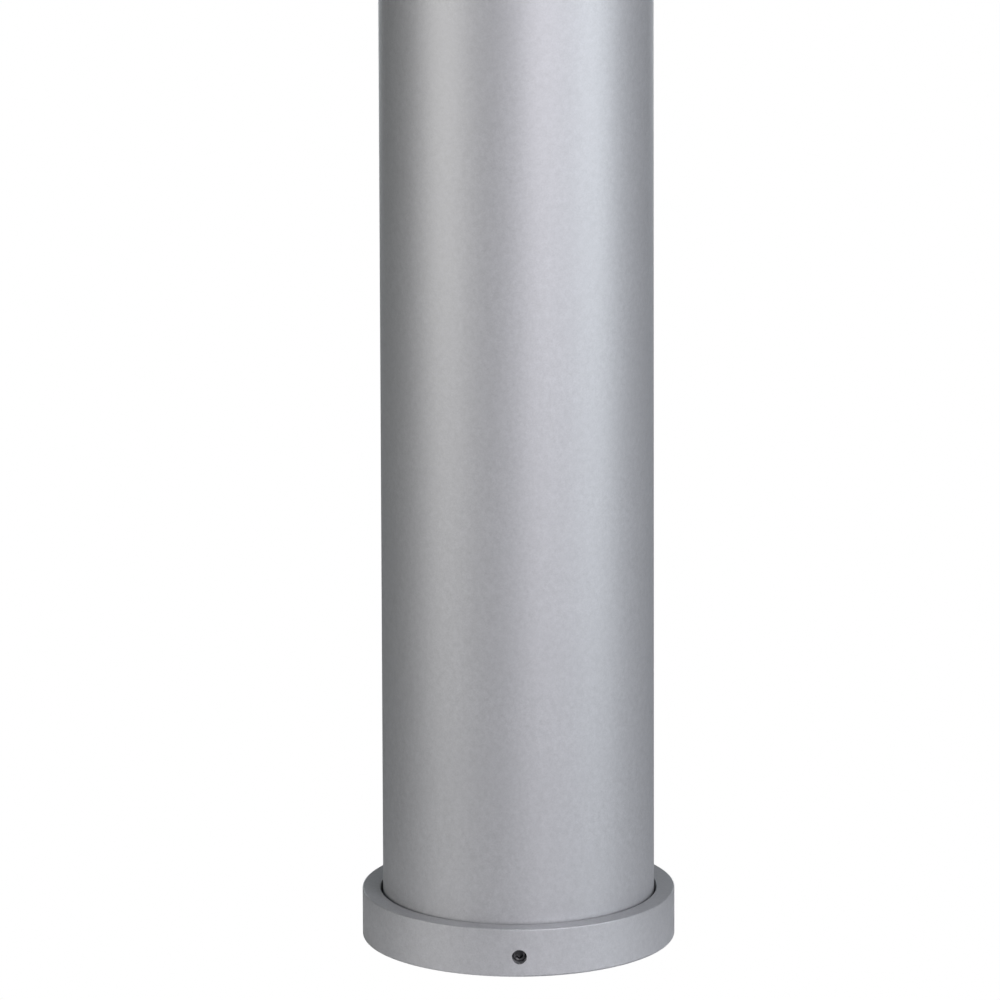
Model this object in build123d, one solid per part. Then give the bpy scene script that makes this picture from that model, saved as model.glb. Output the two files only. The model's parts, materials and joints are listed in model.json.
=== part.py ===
"""A round garden bollard light: a straight aluminium post that stands in a low base collar, with a lantern on top.

Millimetres. +Z is up, and the origin is on the ground at the centre of the base. The front is towards -Y.
Bottom to top: the base is bolted down and carries the post, which three set screws clamp. A gear unit hangs
in the post's top: a carrier casting with the lampholder above it and the connection box below. The lantern
head, cap and diffuser, stands on the carrier. Every sub-part is written to parts/NAME.step.
"""

from build123d import *
from math import cos, radians, sin
import os

# Post: the driving sizes of the object.
POST_R = 55.0
POST_WALL = 3.0
POST_TOP = 640.0
TOTAL_H = 800.0
BORE_R = POST_R - POST_WALL

# Base: an outer collar and an inner spigot with the post's end in the groove between them.
COLLAR_R = 63.3
COLLAR_H = 20.0
COLLAR_GAP = 1.0
FLOOR_T = 6.0
UNDERCUT = 2.0
RIM_W = 6.0
SPIGOT_GAP = 0.4
SPIGOT_W = 4.0
SPIGOT_H = 18.0
CABLE_HOLE_R = 20.0
ANCHOR_PCD_R = 38.0
ANCHOR_HOLE_R = 4.5
ANCHOR_BOSS_R = 10.0
SOCKET_R = POST_R + COLLAR_GAP
BASE_SPIGOT_R = BORE_R - SPIGOT_GAP

# Three-fold stations around the axis, in degrees from +X.
FRONT = -90.0
SET_ANGLES = {"front": FRONT, "right": FRONT + 120, "left": FRONT + 240}
TIE_ANGLES = [FRONT + 120 * i for i in range(3)]
LUG_ANGLES = [FRONT + 60 + 120 * i for i in range(3)]

# M6 set screws that clamp the post in the collar.
SET_Z = 8.4
SET_R = 2.8
SET_HOLE_R = 3.0
SET_LENGTH = 5.0
SET_TIP_R = POST_R + 0.2
SET_HEX = 3.0

# Earth screw in the base, and the grommet in its cable hole.
EARTH_ANGLE = 150.0
EARTH_PCD_R = 36.0
GROMMET_HOLE_R = 5.5
GROMMET_TOP = 18.0

# Fastener sizes. A tapped hole is drawn plain, as wide as the clearance hole.
M5_R = 2.5
M5_HOLE_R = 2.8
M5_HEAD_R = 4.25
M5_HEAD_H = 5.0
M5_HEX = 4.0
M4_R = 2.0
M4_HOLE_R = 2.2
M4_HEAD_R = 3.5
M4_HEAD_H = 3.0
M4_HEX = 2.5

# Carrier: the casting that closes the post's top and holds the gear and the lantern.
SCREW_PCD_R = 41.0
PLATE_T = 6.0
PLATE_TOP = POST_TOP + PLATE_T
RIM_H = 5.0
CARRIER_TOP = PLATE_TOP + RIM_H
CARRIER_OPENING_R = 30.0
CARRIER_SPIGOT_H = 14.0
CARRIER_SPIGOT_IN = 47.0
BOSS_R = 6.5
GROOVE_IN = 48.6
GROOVE_OUT = 52.7
INNER_RIM_R = 46.0
LUG_TOP = POST_TOP - CARRIER_SPIGOT_H
LUG_H = 14.0
LUG_IN = 34.0
LUG_W = 14.0

# Lantern.
DIFFUSER_OUT = 52.0
DIFFUSER_IN = 49.0
GASKET_T = 1.5
DIFFUSER_BOTTOM = PLATE_TOP + GASKET_T
CAP_SKIRT_BOTTOM = 766.0
CAP_GROOVE_TOP = 774.0
DIFFUSER_TOP = CAP_GROOVE_TOP - GASKET_T
CAP_CEILING = 782.0
CAP_EDGE = 792.0
TIE_SEAT = 788.0
TIE_LENGTH = 150.0
WASHER_T = 1.0

# Lampholder and its bracket.
BAR_BOTTOM = 612.0
SHEET_T = 2.0
BAR_TOP = BAR_BOTTOM + SHEET_T
BRACKET_HALF_W = 8.0
HOLDER_R = 19.5
HOLDER_BORE_R = 14.6
HOLDER_TOP = 668.0
SHADE_Z = 652.0
SHADE_T = 1.2
WIRE_HOLE_R = 6.0

# Gear tray and connection box.
TRAY_BOTTOM = 358.0
TRAY_HALF_W = 30.0
TRAY_BOLT_X = 25.0
HOLDER_SCREW_X = 12.0
TRAY_BACK = 16.0
TRAY_FLANGE = 10.0
BOX_HALF_X = 25.0
BOX_HALF_Y = 14.0
BOX_BOTTOM = 380.0
BOX_TOP = 460.0
BOX_MID = (BOX_BOTTOM + BOX_TOP) / 2
BOX_WALL = 2.0
BOX_CORNER_R = 4.0
LID_T = 3.0
SEAL_T = 1.0
LID_SCREW_X = BOX_HALF_X - 5
LID_SCREW_Z = (BOX_TOP - BOX_BOTTOM) / 2 - 5
GLAND_THREAD_R = 8.0
GLAND_BORE_R = 4.2
POLES = [-11.0, 0.0, 11.0]

# Lead from the box to the lampholder.
LEAD_R = 3.5
LEAD_END = 588.0
CORE_R = 1.2
CORE_X = 3.0

# Lamp with an E27 cap.
LAMP_CAP_R = 13.2
LAMP_CAP_BOTTOM = 646.0
LAMP_CAP_TOP = 664.0
GLOBE_SEAM = 694.0
GLOBE_SEAM_R = 27.0
GLOBE_R = 30.0
GLOBE_Z = 708.0
GLOBE_WALL = 1.2


def turned(*corners, rounds=None):
    """A solid turned about Z from (radius, height) corners in order; rounds maps a corner's index to its fillet."""
    rounds = rounds or {}
    if rounds:
        outline = FilletPolyline(*corners, radius=[rounds.get(i, 0) for i in range(len(corners))], close=True)
    else:
        outline = Polyline(*corners, close=True)
    return revolve(Plane.XZ * make_face(outline), axis=Axis.Z)


def ring(inner, outer, bottom, top):
    """A plain ring about Z."""
    return turned((inner, bottom), (outer, bottom), (outer, top), (inner, top))


def rod(radius, bottom, top, x=0.0, y=0.0):
    """An upright cylinder."""
    return Pos(x, y, bottom) * Cylinder(radius, top - bottom, align=(Align.CENTER, Align.CENTER, Align.MIN))


def block(x0, x1, y0, y1, z0, z1):
    """A box between two corners."""
    return Pos((x0 + x1) / 2, (y0 + y1) / 2, (z0 + z1) / 2) * Box(x1 - x0, y1 - y0, z1 - z0)


def at_angle(radius, angle):
    """The (x, y) of a point at a radius and an angle from +X."""
    return radius * cos(radians(angle)), radius * sin(radians(angle))


def hex_prism(across_flats, height):
    """A hexagonal prism that stands on the XY plane."""
    return extrude(RegularPolygon(across_flats / 2, 6, major_radius=False), height)


def socket_screw(radius, length, head_r, head_h, hex_af):
    """A socket-head screw that points down, with the underside of its head at z = 0."""
    head = turned((0, 0), (head_r, 0), (head_r, head_h), (0, head_h), rounds={2: 0.4})
    shank = turned((0, -length), (radius, -length), (radius, 0), (0, 0), rounds={1: 0.4})
    return head + shank - Pos(0, 0, head_h * 0.45) * hex_prism(hex_af, head_h)


def m5_screw(length):
    """An M5 socket-head screw."""
    return socket_screw(M5_R, length, M5_HEAD_R, M5_HEAD_H, M5_HEX)


def m4_screw(length):
    """An M4 socket-head screw."""
    return socket_screw(M4_R, length, M4_HEAD_R, M4_HEAD_H, M4_HEX)


def hex_nut(across_flats, hole_r, height):
    """A hexagonal nut on the XY plane."""
    return hex_prism(across_flats, height) - rod(hole_r, -1, height + 1)


# ---- Base ----------------------------------------------------------------------------------------------------


def base_flange():
    """The casting that is bolted down: a floor with a collar outside the post and a spigot inside it."""
    spigot_in = BASE_SPIGOT_R - SPIGOT_W
    flange = turned(
        (CABLE_HOLE_R, UNDERCUT),
        (COLLAR_R - RIM_W, UNDERCUT),
        (COLLAR_R - RIM_W, 0),
        (COLLAR_R, 0),
        (COLLAR_R, COLLAR_H),
        (SOCKET_R, COLLAR_H),
        (SOCKET_R, FLOOR_T),
        (BASE_SPIGOT_R, FLOOR_T),
        (BASE_SPIGOT_R, SPIGOT_H),
        (spigot_in, SPIGOT_H),
        (spigot_in, FLOOR_T),
        (CABLE_HOLE_R, FLOOR_T),
        rounds={3: 0.7, 4: 0.6, 5: 0.4, 8: 1.2, 9: 0.8, 10: 2.0},
    )
    flange += ring(CABLE_HOLE_R + 5, CABLE_HOLE_R + 9, 0, UNDERCUT + 1)
    for angle in LUG_ANGLES:
        x, y = at_angle(ANCHOR_PCD_R, angle)
        flange += rod(ANCHOR_BOSS_R, 0, UNDERCUT + 1, x, y)
        flange -= rod(ANCHOR_HOLE_R, -1, FLOOR_T + 1, x, y)
    for angle in SET_ANGLES.values():
        tapped = Rot(0, 90, 0) * Cylinder(SET_HOLE_R, 10, align=(Align.CENTER, Align.CENTER, Align.MIN))
        flange -= Rot(0, 0, angle) * Pos(POST_R, 0, SET_Z) * tapped
    x, y = at_angle(EARTH_PCD_R, EARTH_ANGLE)
    return flange + rod(5.0, FLOOR_T - 1, FLOOR_T + 5, x, y) - rod(M5_HOLE_R, FLOOR_T - 2, FLOOR_T + 6, x, y)


def cable_grommet():
    """The rubber grommet in the cable hole: two lips hold the floor's edge, and a cone ends in the cable nose."""
    lip_r = CABLE_HOLE_R + 3
    return turned(
        (CABLE_HOLE_R - 4, 0.4),
        (lip_r, 0.4),
        (lip_r, UNDERCUT),
        (CABLE_HOLE_R, UNDERCUT),
        (CABLE_HOLE_R, FLOOR_T),
        (lip_r, FLOOR_T),
        (lip_r, FLOOR_T + 2),
        (CABLE_HOLE_R - 3, FLOOR_T + 2.5),
        (GROMMET_HOLE_R + 3, GROMMET_TOP - 6),
        (GROMMET_HOLE_R + 2, GROMMET_TOP),
        (GROMMET_HOLE_R, GROMMET_TOP),
        (GROMMET_HOLE_R, GROMMET_TOP - 6),
        (CABLE_HOLE_R - 4, FLOOR_T),
        rounds={6: 0.8, 8: 2.0},
    )


def base_earth_screw():
    """The M5 earth screw with its washer, on the boss in the base."""
    x, y = at_angle(EARTH_PCD_R, EARTH_ANGLE)
    seat = FLOOR_T + 5
    washer = ring(M5_R, 4.9, 0, WASHER_T)
    return Pos(x, y, seat) * (washer + Pos(0, 0, WASHER_T) * m5_screw(6))


def set_screw(angle):
    """A headless screw with a hexagon socket, on its radius of the collar."""
    screw = turned(
        (0, 0), (SET_R, 0), (SET_R, SET_LENGTH), (0, SET_LENGTH), rounds={1: 0.6, 2: 0.3}
    ) - Pos(0, 0, SET_LENGTH / 2) * hex_prism(SET_HEX, SET_LENGTH)
    return Rot(0, 0, angle) * Pos(SET_TIP_R, 0, SET_Z) * Rot(0, 90, 0) * screw


# ---- Post ----------------------------------------------------------------------------------------------------


def post_tube():
    """The extruded tube, which stands on the base's floor."""
    return turned(
        (BORE_R, FLOOR_T), (POST_R, FLOOR_T), (POST_R, POST_TOP), (BORE_R, POST_TOP), rounds={1: 0.4, 2: 0.5}
    )


def post_lugs():
    """Three tapped lugs welded inside the tube, which the carrier's screws enter."""
    lug = block(LUG_IN, BORE_R + 2, -LUG_W / 2, LUG_W / 2, LUG_TOP - LUG_H, LUG_TOP)
    lug = fillet(lug.edges().filter_by(Axis.Z).sort_by(Axis.X)[:2], 3)
    lug &= rod(BORE_R, LUG_TOP - LUG_H, LUG_TOP)
    lug -= rod(M5_HOLE_R, LUG_TOP - LUG_H - 1, LUG_TOP + 1, SCREW_PCD_R)
    return [Rot(0, 0, angle) * lug for angle in LUG_ANGLES]


# ---- Gear unit: carrier, lampholder ---------------------------------------------------------------------------


def lamp_carrier():
    """The casting on the post's end: a spigot in the bore, a plate and the groove that the diffuser stands in."""
    spigot_r = BORE_R - SPIGOT_GAP
    oring = POST_TOP - 9
    carrier = turned(
        (CARRIER_OPENING_R, POST_TOP),
        (CARRIER_SPIGOT_IN, POST_TOP),
        (CARRIER_SPIGOT_IN, LUG_TOP),
        (spigot_r, LUG_TOP),
        (spigot_r, oring),
        (spigot_r - 1.8, oring),
        (spigot_r - 1.8, oring + 2.4),
        (spigot_r, oring + 2.4),
        (spigot_r, POST_TOP),
        (POST_R, POST_TOP),
        (POST_R, CARRIER_TOP),
        (GROOVE_OUT, CARRIER_TOP),
        (GROOVE_OUT, PLATE_TOP),
        (GROOVE_IN, PLATE_TOP),
        (GROOVE_IN, CARRIER_TOP),
        (INNER_RIM_R, CARRIER_TOP),
        (INNER_RIM_R, PLATE_TOP),
        (CARRIER_OPENING_R, PLATE_TOP),
        rounds={3: 1.0, 9: 0.5, 10: 0.8, 11: 0.4},
    )
    for angle in TIE_ANGLES:
        x, y = at_angle(SCREW_PCD_R, angle)
        carrier += rod(BOSS_R, POST_TOP - PLATE_T, CARRIER_TOP, x, y)
        carrier -= rod(M5_HOLE_R, POST_TOP - PLATE_T - 1, CARRIER_TOP + 1, x, y)
    for angle in LUG_ANGLES:
        carrier -= rod(M5_HOLE_R, POST_TOP - 1, PLATE_TOP + 1, *at_angle(SCREW_PCD_R, angle))
    for x in (-40, 40):
        carrier -= rod(M4_HOLE_R, POST_TOP - 1, PLATE_TOP - 1, x)
    return carrier


def spigot_oring():
    """The O-ring in the carrier's spigot."""
    return Pos(0, 0, POST_TOP - 7.8) * Torus(BORE_R - 1.2, 1.0)


def carrier_screws():
    """Three screws that hold the carrier to the lugs in the post."""
    return [Pos(*at_angle(SCREW_PCD_R, a), PLATE_TOP) * m5_screw(32) for a in LUG_ANGLES]


def groove_gasket(bottom):
    """A flat rubber ring between the diffuser's end and a groove."""
    return ring(GROOVE_IN + 0.3, GROOVE_OUT - 0.3, bottom, bottom + GASKET_T)


def lampholder_bracket():
    """The folded strip under the carrier that the lampholder stands on."""
    leg, foot = 36.0, 44.0
    inner = leg - SHEET_T
    foot_z = POST_TOP - SHEET_T
    outline = FilletPolyline(
        (-foot, POST_TOP),
        (-foot, foot_z),
        (-leg, foot_z),
        (-leg, BAR_BOTTOM),
        (leg, BAR_BOTTOM),
        (leg, foot_z),
        (foot, foot_z),
        (foot, POST_TOP),
        (inner, POST_TOP),
        (inner, BAR_TOP),
        (-inner, BAR_TOP),
        (-inner, POST_TOP),
        radius=[0, 0, 0.5, 3, 3, 0.5, 0, 0, 2.5, 1, 1, 2.5],
        close=True,
    )
    bracket = extrude(Plane.XZ * make_face(outline), BRACKET_HALF_W, both=True)
    bracket -= rod(WIRE_HOLE_R, BAR_BOTTOM - 1, BAR_TOP + 1)
    for x in (-TRAY_BOLT_X, -HOLDER_SCREW_X, HOLDER_SCREW_X, TRAY_BOLT_X):
        bracket -= rod(M4_HOLE_R, BAR_BOTTOM - 1, BAR_TOP + 1, x)
    for x in (-40, 40):
        bracket -= rod(M4_HOLE_R, foot_z - 1, POST_TOP + 1, x)
    return bracket


def bracket_screws():
    """Two screws up through the bracket's feet into the carrier."""
    return [Pos(x, 0, POST_TOP - SHEET_T) * Rot(180, 0, 0) * m4_screw(6) for x in (-40, 40)]


def lampholder():
    """The porcelain body of the E27 lampholder, with the flange that carries the reflector plate."""
    holder = turned(
        (0, BAR_TOP),
        (21, BAR_TOP),
        (21, 626),
        (HOLDER_R, 628),
        (HOLDER_R, SHADE_Z - 3),
        (23, SHADE_Z - 3),
        (23, SHADE_Z),
        (HOLDER_R, SHADE_Z),
        (HOLDER_R, HOLDER_TOP),
        (HOLDER_BORE_R, HOLDER_TOP),
        (HOLDER_BORE_R, 638),
        (0, 638),
        rounds={1: 0.8, 5: 0.8, 8: 0.8, 9: 0.8},
    )
    for x in (-CORE_X, CORE_X):
        holder -= rod(CORE_R + 0.3, BAR_TOP - 1, BAR_TOP + 8, x)
    for x in (-HOLDER_SCREW_X, HOLDER_SCREW_X):
        holder -= rod(M4_HOLE_R, BAR_TOP - 1, BAR_TOP + 9, x)
    return holder


def lampholder_shell():
    """The brass thread shell in the lampholder."""
    return turned(
        (9, 639.5), (HOLDER_BORE_R, 639.5), (HOLDER_BORE_R, 664), (14.0, 664), (14.0, 640.1), (9, 640.1)
    )


def lampholder_contact():
    """The brass centre contact, a bent tongue under the lamp's tip."""
    foot = block(-2.5, 7.0, -2.5, 2.5, 638, 638.6)
    tongue = Pos(0, 0, 638.9) * Rot(0, 6, 0) * Box(9, 5, 0.6)
    return foot + tongue


def shade_ring():
    """The knurled ring nut that clamps the reflector plate on the lampholder."""
    bottom = SHADE_Z + SHADE_T
    nut = turned(
        (HOLDER_R, bottom), (24, bottom), (24, bottom + 6), (HOLDER_R, bottom + 6), rounds={1: 0.6, 2: 1.2}
    )
    ribs = 24
    flute = rod(0.9, bottom - 1, bottom + 7, 24.4)
    for i in range(ribs):
        nut -= Rot(0, 0, 360 / ribs * i) * flute
    return nut


def reflector_plate():
    """The white plate that hides the carrier, with holes for the tie screws and for a key to the carrier's screws."""
    plate = ring(HOLDER_R + 0.2, INNER_RIM_R - 0.5, SHADE_Z, SHADE_Z + SHADE_T)
    for angle in TIE_ANGLES:
        plate -= rod(3.5, SHADE_Z - 1, SHADE_Z + 3, *at_angle(SCREW_PCD_R, angle))
    for angle in LUG_ANGLES:
        plate -= rod(3.0, SHADE_Z - 1, SHADE_Z + 3, *at_angle(SCREW_PCD_R, angle))
    return plate


def lampholder_screws():
    """Two screws up through the tray and the bracket into the lampholder."""
    return [Pos(x, 0, BAR_BOTTOM - SHEET_T) * Rot(180, 0, 0) * m4_screw(12) for x in (-HOLDER_SCREW_X, HOLDER_SCREW_X)]


# ---- Gear unit: tray, connection box, leads ------------------------------------------------------------------


def gear_tray():
    """The folded steel tray that hangs from the bracket: a channel with a foot at its top and slots for ties."""
    x, back, front = TRAY_HALF_W, TRAY_BACK, TRAY_BACK - SHEET_T
    channel = FilletPolyline(
        (-x, front),
        (x, front),
        (x, front + TRAY_FLANGE),
        (x - SHEET_T, front + TRAY_FLANGE),
        (x - SHEET_T, back),
        (SHEET_T - x, back),
        (SHEET_T - x, front + TRAY_FLANGE),
        (-x, front + TRAY_FLANGE),
        radius=[2.5, 2.5, 0, 0, 0.5, 0.5, 0, 0],
        close=True,
    )
    tray = Pos(0, 0, TRAY_BOTTOM) * extrude(make_face(channel), BAR_BOTTOM - TRAY_BOTTOM)
    tray += block(-x, x, -BRACKET_HALF_W, back - 1, BAR_BOTTOM - SHEET_T, BAR_BOTTOM)
    tray -= rod(WIRE_HOLE_R, BAR_BOTTOM - 3, BAR_BOTTOM + 1)
    for px in (-TRAY_BOLT_X, -HOLDER_SCREW_X, HOLDER_SCREW_X, TRAY_BOLT_X):
        tray -= rod(M4_HOLE_R, BAR_BOTTOM - 3, BAR_BOTTOM + 1, px)
    slot = Rot(90, 0, 0) * extrude(SlotOverall(9, 3), 6, both=True)
    for z in (BOX_BOTTOM - 12, BOX_TOP + 30, BOX_TOP + 90):
        for px in (-10, 10):
            tray -= Pos(px, front, z) * Rot(0, 90, 0) * slot
    hole = Rot(90, 0, 0) * Cylinder(M4_HOLE_R, 12)
    for z in (BOX_MID - 25, BOX_MID + 25):
        tray -= Pos(0, back, z) * hole
    return tray - Pos(17, back, LEAD_END - 4) * hole


def tray_bolts():
    """Two bolts that hold the tray's foot under the bracket."""
    return [Pos(x, 0, BAR_BOTTOM - SHEET_T) * Rot(180, 0, 0) * m4_screw(8) for x in (-TRAY_BOLT_X, TRAY_BOLT_X)]


def tray_nuts():
    """The nuts of the tray's bolts."""
    return [Pos(x, 0, BAR_TOP) * Rot(0, 0, 30) * hex_nut(7, M4_R, 3.2) for x in (-TRAY_BOLT_X, TRAY_BOLT_X)]


def rounded_panel(half_x, z0, z1, y0, y1, radius):
    """An upright panel with rounded corners, between two values of y."""
    panel = block(-half_x, half_x, y0, y1, z0, z1)
    return fillet(panel.edges().filter_by(Axis.Y), radius)


def box_corners():
    """The (x, z) places of the box's four lid screws."""
    return [(sx * LID_SCREW_X, BOX_MID + sz * LID_SCREW_Z) for sx in (-1, 1) for sz in (-1, 1)]


def cross_rod(radius, y0, y1, x, z):
    """A cylinder along Y."""
    return Pos(x, (y0 + y1) / 2, z) * Rot(90, 0, 0) * Cylinder(radius, y1 - y0)


def box_inside():
    """The room inside the box, up to its open front."""
    return rounded_panel(
        BOX_HALF_X - BOX_WALL, BOX_BOTTOM + BOX_WALL, BOX_TOP - BOX_WALL, -BOX_HALF_Y, BOX_HALF_Y - BOX_WALL, 2
    )


def box_rim():
    """The box's four walls in one ring, with a gland hole through the upper and the lower one."""
    rim = rounded_panel(BOX_HALF_X, BOX_BOTTOM, BOX_TOP, -BOX_HALF_Y, BOX_HALF_Y - BOX_WALL, BOX_CORNER_R)
    rim -= box_inside()
    rim -= rod(GLAND_THREAD_R + 0.1, BOX_BOTTOM - 1, BOX_BOTTOM + BOX_WALL + 1)
    return rim - rod(GLAND_THREAD_R + 0.1, BOX_TOP - BOX_WALL - 1, BOX_TOP + 1)


def box_back():
    """The back of the plastic box, which is screwed to the tray."""
    back = rounded_panel(BOX_HALF_X, BOX_BOTTOM, BOX_TOP, BOX_HALF_Y - BOX_WALL, BOX_HALF_Y, BOX_CORNER_R)
    for z in (BOX_MID - 25, BOX_MID + 25):
        back -= cross_rod(M4_HOLE_R, BOX_HALF_Y - 3, BOX_HALF_Y + 1, 0, z)
    return back


def box_side_walls():
    """The box's left and right walls."""
    between = block(0, 50, -50, 50, BOX_BOTTOM + BOX_CORNER_R, BOX_TOP - BOX_CORNER_R)
    right = box_rim() & between
    return [right.mirror(Plane.YZ), right]


def box_end_walls():
    """The box's lower and upper walls with their rounded corners, each with a gland hole."""
    low = box_rim() & block(-50, 50, -50, 50, BOX_BOTTOM - 1, BOX_BOTTOM + BOX_CORNER_R)
    high = box_rim() & block(-50, 50, -50, 50, BOX_TOP - BOX_CORNER_R, BOX_TOP + 1)
    return [low, high]


def box_pillars():
    """The four pillars in the box's corners, which the lid's screws enter."""
    pillars = []
    for x, z in box_corners():
        pillar = cross_rod(4, -BOX_HALF_Y, BOX_HALF_Y - BOX_WALL, x, z) & box_inside()
        pillars.append(pillar - cross_rod(1.6, -BOX_HALF_Y - 1, 0, x, z))
    return pillars


def box_seal():
    """The rubber seal between the box and its lid, outside the screw pillars' holes."""
    y0, y1 = -BOX_HALF_Y - SEAL_T, -BOX_HALF_Y
    seal = rounded_panel(BOX_HALF_X, BOX_BOTTOM, BOX_TOP, y0, y1, BOX_CORNER_R)
    seal -= rounded_panel(BOX_HALF_X - 3, BOX_BOTTOM + 3, BOX_TOP - 3, y0 - 1, y1 + 1, 2)
    for x, z in box_corners():
        seal += cross_rod(4, y0, y1, x, z)
        seal -= cross_rod(1.9, y0 - 1, y1 + 1, x, z)
    return seal


def box_lid():
    """The lid, with its front edge rounded and a hole over each pillar."""
    back = -BOX_HALF_Y - SEAL_T
    lid = rounded_panel(BOX_HALF_X, BOX_BOTTOM, BOX_TOP, back - LID_T, back, BOX_CORNER_R)
    lid = fillet(lid.faces().sort_by(Axis.Y)[0].edges(), 0.8)
    for x, z in box_corners():
        lid -= cross_rod(1.9, back - LID_T - 1, back + 1, x, z)
    return lid


def box_lid_screws():
    """Four pan-head screws in the lid."""
    front = -BOX_HALF_Y - SEAL_T - LID_T
    screw = socket_screw(1.55, 12, 3.0, 2.0, 2.0)
    return [Pos(x, front, z) * Rot(90, 0, 0) * screw for x, z in box_corners()]


def box_fixing_screws():
    """Two screws through the box's back into the tray."""
    seat = BOX_HALF_Y - BOX_WALL
    return [Pos(0, seat, z) * Rot(90, 0, 0) * m4_screw(6) for z in (BOX_MID - 25, BOX_MID + 25)]


def terminal_block():
    """The three-pole terminal block on the box's back wall."""
    y0, y1, z0, z1 = -6, BOX_HALF_Y - BOX_WALL, BOX_MID - 11, BOX_MID + 11
    body = block(-17, 17, y0, y1, z0, z1)
    body = fillet(body.faces().sort_by(Axis.Y)[0].edges(), 1.0)
    for x in POLES:
        body -= rod(2.6, z0 - 1, z1 + 1, x)
        for z in (BOX_MID - 6, BOX_MID + 6):
            body -= cross_rod(1.7, y0 - 1, -2, x, z)
    return body


def terminal_inserts():
    """The brass tubes in the terminal block."""
    return [Pos(x, 0, 0) * ring(1.8, 2.5, BOX_MID - 9, BOX_MID + 9) for x in POLES]


def terminal_screws():
    """The clamping screws of the terminal block."""
    return [cross_rod(1.5, -5, -2.6, x, z) for x in POLES for z in (BOX_MID - 6, BOX_MID + 6)]


def gland_parts():
    """One cable gland upwards from z = 0, the wall's outer face: body, dome nut, rubber seal and lock nut."""
    body = hex_prism(20, 4) + rod(GLAND_THREAD_R, -BOX_WALL - 8, 0) + rod(8.6, 4, 12)
    body -= rod(GLAND_BORE_R + 1.5, -20, 30)
    nut = turned(
        (8.8, 4.6),
        (10, 4.6),
        (10, 17),
        (8, 21),
        (GLAND_BORE_R, 21),
        (GLAND_BORE_R, 18.5),
        (7.2, 17.5),
        (8.8, 16),
        rounds={3: 2.0},
    ) & hex_prism(19, 25)
    seal = turned(
        (GLAND_BORE_R - 0.6, 8), (5.5, 8), (5.5, 12.3), (7.0, 12.3), (7.0, 17), (GLAND_BORE_R - 0.6, 17.6)
    )
    lock = Pos(0, 0, -BOX_WALL - 4) * hex_nut(20, GLAND_THREAD_R, 4)
    return {"body": body, "nut": nut, "seal": seal, "lock": lock}


def glands(kind):
    """That piece of the lower gland, for the supply cable, and of the upper one, for the lamp's lead."""
    piece = gland_parts()[kind]
    return [Pos(0, 0, BOX_BOTTOM) * Rot(180, 0, 0) * piece, Pos(0, 0, BOX_TOP) * piece]


def swept(points, radius, bend):
    """A round wire along straight runs joined by arcs."""
    path = FilletPolyline(*points, radius=bend)
    start = Plane(origin=path @ 0, z_dir=path % 0)
    return sweep(start * Circle(radius), path=path)


def lamp_lead():
    """The sheathed lead from the upper gland, along the tray and up to the lampholder."""
    on_tray = TRAY_BACK - SHEET_T - LEAD_R - 0.2
    points = [
        (0, 0, BOX_TOP - 12),
        (0, 0, BOX_TOP + 50),
        (0, on_tray, BOX_TOP + 76),
        (0, on_tray, LEAD_END - 30),
        (0, 0, LEAD_END - 4),
    ]
    upright = (0, 0, LEAD_END + 12)
    lead = swept([*points, upright], LEAD_R, 28)
    return lead & rod(20, BOX_TOP - 20, LEAD_END)


def lead_clip():
    """The steel saddle that holds the lead on the tray."""
    z, front = BOX_TOP + 86, TRAY_BACK - SHEET_T
    saddle = cross_bridge(front, 6) - Pos(0, front - LEAD_R - 0.2, 0) * rod(LEAD_R + 0.05, -20, 20)
    return Pos(0, 0, z) * saddle


def cross_bridge(front, half_h):
    """A saddle strip across the lead: a bridge with a foot on each side, flat on the tray."""
    thick = 0.8
    centre = front - LEAD_R - 0.2
    arch = rod(LEAD_R + thick, -half_h, half_h, 0, centre)
    arch += block(-LEAD_R - thick, LEAD_R + thick, centre, front, -half_h, half_h)
    feet = block(-11, 11, front - thick, front, -half_h, half_h)
    inside = block(-LEAD_R - 0.05, LEAD_R + 0.05, centre, front + 1, -half_h - 1, half_h + 1)
    return arch + feet - inside


def core_live():
    """The brown core: its end at the lampholder and its end in the terminal block."""
    return lead_core(-CORE_X, POLES[0])


def core_neutral():
    """The blue core."""
    return lead_core(CORE_X, POLES[2])


def lead_core(x_top, x_pole):
    """A core's two bare-sheath ends: up into the lampholder, and down into its pole of the terminal block."""
    upper = rod(CORE_R, LEAD_END, BAR_TOP + 6, x_top / 2) if abs(x_top) < 1 else swept(
        [(x_top / 2, 0, LEAD_END), (x_top / 2, 0, LEAD_END + 7), (x_top, 0, LEAD_END + 15), (x_top, 0, BAR_TOP + 6)],
        CORE_R,
        6,
    )
    bottom = BOX_TOP - 12
    lower = swept(
        [(x_top / 2, 0, bottom), (x_top / 2, 0, bottom - 4), (x_pole, 0, bottom - 10), (x_pole, 0, BOX_MID + 3)],
        CORE_R,
        2.5,
    )
    return [upper, lower]


def core_earth():
    """The green and yellow core: its end on the tray's earth screw and its end in the terminal block."""
    z = LEAD_END - 4
    front = TRAY_BACK - SHEET_T
    upper = swept(
        [(0, 2, LEAD_END), (0, 2, LEAD_END + 9), (10, 8, LEAD_END + 9), (17, front - 1.8, LEAD_END + 4)], CORE_R, 3.5
    )
    lug = cross_rod(4.2, front - 3.0, front - 2.0, 17, z) - cross_rod(M4_R, front - 9, front + 9, 17, z)
    lug += block(15.4, 18.6, front - 3.0, front - 2.0, z + 3.4, z + 9)
    lower = swept([(0, 2, BOX_TOP - 12), (0, 2, BOX_TOP - 16), (0, 0, BOX_TOP - 24), (0, 0, BOX_MID + 3)], CORE_R, 2.5)
    return [upper + lug, lower]


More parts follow.
